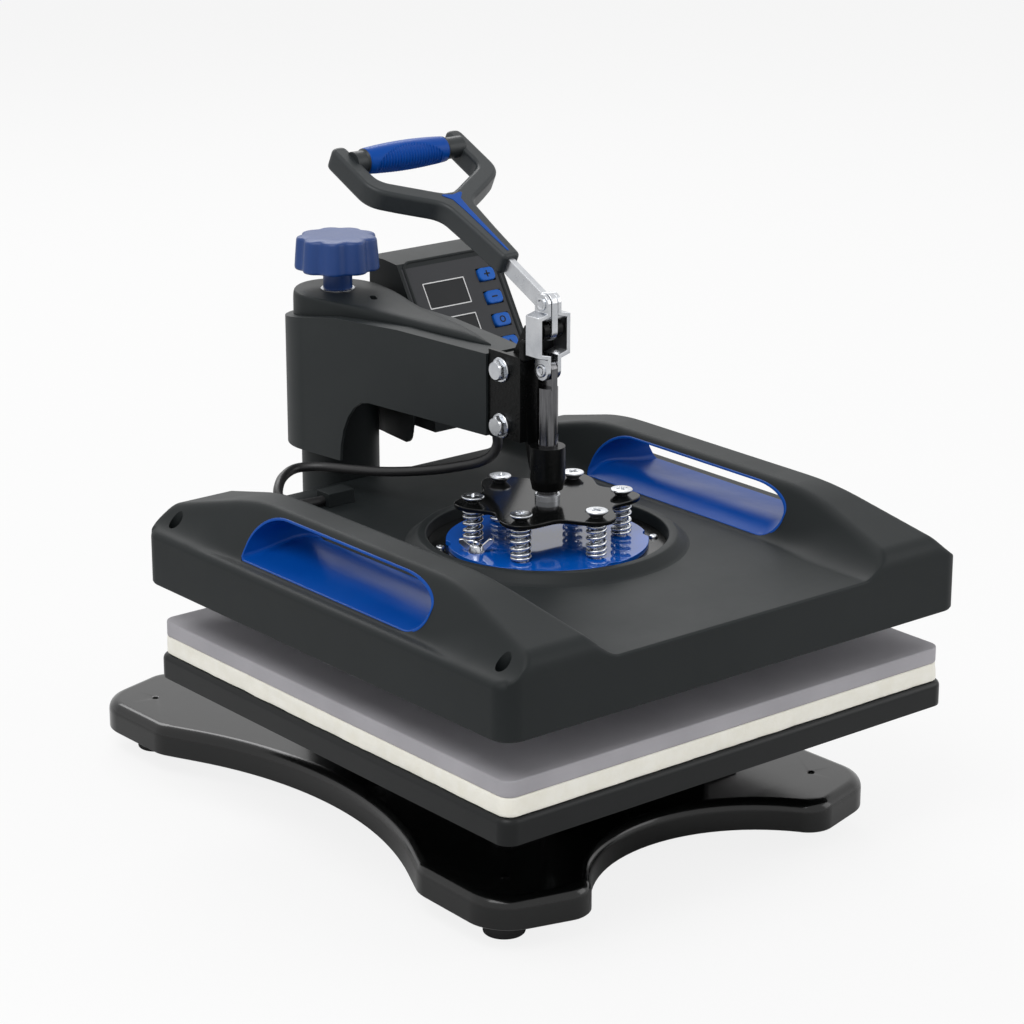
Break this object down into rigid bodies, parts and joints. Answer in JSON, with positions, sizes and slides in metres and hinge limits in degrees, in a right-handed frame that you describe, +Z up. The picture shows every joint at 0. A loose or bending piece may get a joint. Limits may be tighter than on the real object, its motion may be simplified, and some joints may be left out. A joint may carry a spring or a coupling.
{
  "type": "heat press",
  "caption": "Swing-away combo heat press: toggle lever lowers a sprung square heating platen on a padded table, with a control box and pressure knob on the arm.",
  "frame": {"origin": "on the floor, at the centre of the rectangle of bench bolt holes", "axes": "+Z up, -Y to the front where the user stands, +X to the user's right"},
  "size_m": [0.395, 0.5275, 0.458],
  "materials": {
    "gloss_black": "gloss",
    "charcoal": "matte",
    "rubber_black": "matte",
    "blue_plastic": "satin",
    "blue_metal": "gloss",
    "zinc": "satin",
    "steel": "polished",
    "bronze": "satin",
    "silicone_grey": "matte",
    "foam_cream": "matte",
    "aluminium": "satin",
    "felt_white": "matte",
    "panel_black": "satin",
    "board_green": "satin",
    "switch_red": "gloss"
  },
  "bodies": {
    "base": {"base_plate": "gloss_black", "feet": "rubber_black", "stand": "gloss_black", "stand_bolts": "zinc", "tray": "gloss_black", "foam_sheet": "foam_cream", "press_pad": "silicone_grey", "column": "gloss_black", "column_bolts": "zinc", "post": "steel"},
    "swivel": {"thrust_washer": "bronze"},
    "arm": {"arm_beam": "gloss_black", "arm_shell": "charcoal", "arm_cover": "charcoal", "plunger_guide": "gloss_black", "guide_bolts": "zinc", "guide_nuts": "zinc", "pivot_pin": "steel", "screw_nut": "zinc", "control_box": "charcoal", "box_back": "charcoal", "front_panel": "panel_black", "displays": "panel_black", "circuit_board": "board_green", "box_screws": "zinc", "power_inlet": "panel_black", "fuse_holder": "panel_black", "switch_frame": "panel_black", "arm_gland": "rubber_black", "heater_cord": "rubber_black"},
    "knob": {"pressure_knob": "blue_plastic", "pressure_screw": "zinc"},
    "lever": {"lever_bar": "zinc", "handle_frame": "charcoal", "handle_grip": "blue_plastic", "handle_inlay": "blue_plastic"},
    "links": {"link_left": "zinc", "link_right": "zinc", "link_rivets": "zinc"},
    "plunger": {"plunger_rod": "steel", "spider": "gloss_black", "spider_nut": "zinc"},
    "platen": {"housing": "charcoal", "hand_slot_left": "blue_plastic", "hand_slot_right": "blue_plastic", "housing_screws": "zinc", "flange_ring": "gloss_black", "ring_screws": "zinc", "pressure_disc": "blue_metal", "spring_screws": "zinc", "springs": "zinc", "wing_nut": "zinc", "heating_plate": "aluminium", "insulation": "felt_white", "platen_gland": "rubber_black"},
    "up_button": {"button_up": "blue_plastic"},
    "down_button": {"button_down": "blue_plastic"},
    "set_button": {"button_set": "blue_plastic"},
    "count_button": {"button_count": "blue_plastic"},
    "rocker": {"power_switch": "switch_red"}
  },
  "joints": [
    {"name": "swing", "type": "hinge", "parent": "base", "child": "swivel", "pos_m": [0, 0.155, 0.318], "axis": [0, 0, 1], "range_deg": [-180, 180]},
    {"name": "height", "type": "slide", "parent": "swivel", "child": "arm", "axis": [0, 0, 1], "range_m": [0, 0.008]},
    {"name": "knob_turn", "type": "hinge", "parent": "swivel", "child": "knob", "pos_m": [0, 0.155, 0.35], "axis": [0, 0, 1], "range_deg": [-720, 0]},
    {"name": "lever_turn", "type": "hinge", "parent": "arm", "child": "lever", "pos_m": [0, -0.082, 0.3525], "axis": [1, 0, 0], "range_deg": [0, 180]},
    {"name": "link_turn", "type": "hinge", "parent": "lever", "child": "links", "pos_m": [0, -0.082, 0.3705], "axis": [1, 0, 0], "range_deg": [-180, 0]},
    {"name": "plunge", "type": "slide", "parent": "arm", "child": "plunger", "axis": [0, 0, -1], "range_m": [0, 0.036], "deforming": ["heater_cord"]},
    {"name": "spring_float", "type": "slide", "parent": "plunger", "child": "platen", "axis": [0, 0, 1], "range_m": [0, 0.005], "stiffness_N_per_m": 18000, "springref_m": -0.006, "deforming": ["springs", "heater_cord"]},
    {"name": "up_press", "type": "slide", "parent": "arm", "child": "up_button", "axis": [0, 0.8572, -0.515], "range_m": [0, 0.0012], "stiffness_N_per_m": 900, "springref_m": -0.0005},
    {"name": "down_press", "type": "slide", "parent": "arm", "child": "down_button", "axis": [0, 0.8572, -0.515], "range_m": [0, 0.0012], "stiffness_N_per_m": 900, "springref_m": -0.0005},
    {"name": "set_press", "type": "slide", "parent": "arm", "child": "set_button", "axis": [0, 0.8572, -0.515], "range_m": [0, 0.0012], "stiffness_N_per_m": 900, "springref_m": -0.0005},
    {"name": "count_press", "type": "slide", "parent": "arm", "child": "count_button", "axis": [0, 0.8572, -0.515], "range_m": [0, 0.0012], "stiffness_N_per_m": 900, "springref_m": -0.0005},
    {"name": "power_rock", "type": "hinge", "parent": "arm", "child": "rocker", "pos_m": [0.088, 0.171, 0.294], "axis": [0, 0, 1], "range_deg": [0, 16]}
  ],
  "couplings": [
    {"joint": "knob_turn", "follows": "height", "rad_per_m": -1570.7},
    {"joint": "link_turn", "follows": "lever_turn", "ratio": -1},
    {"joint": "plunge", "follows": "lever_turn", "m_per_rad": 0.011459}
  ]
}
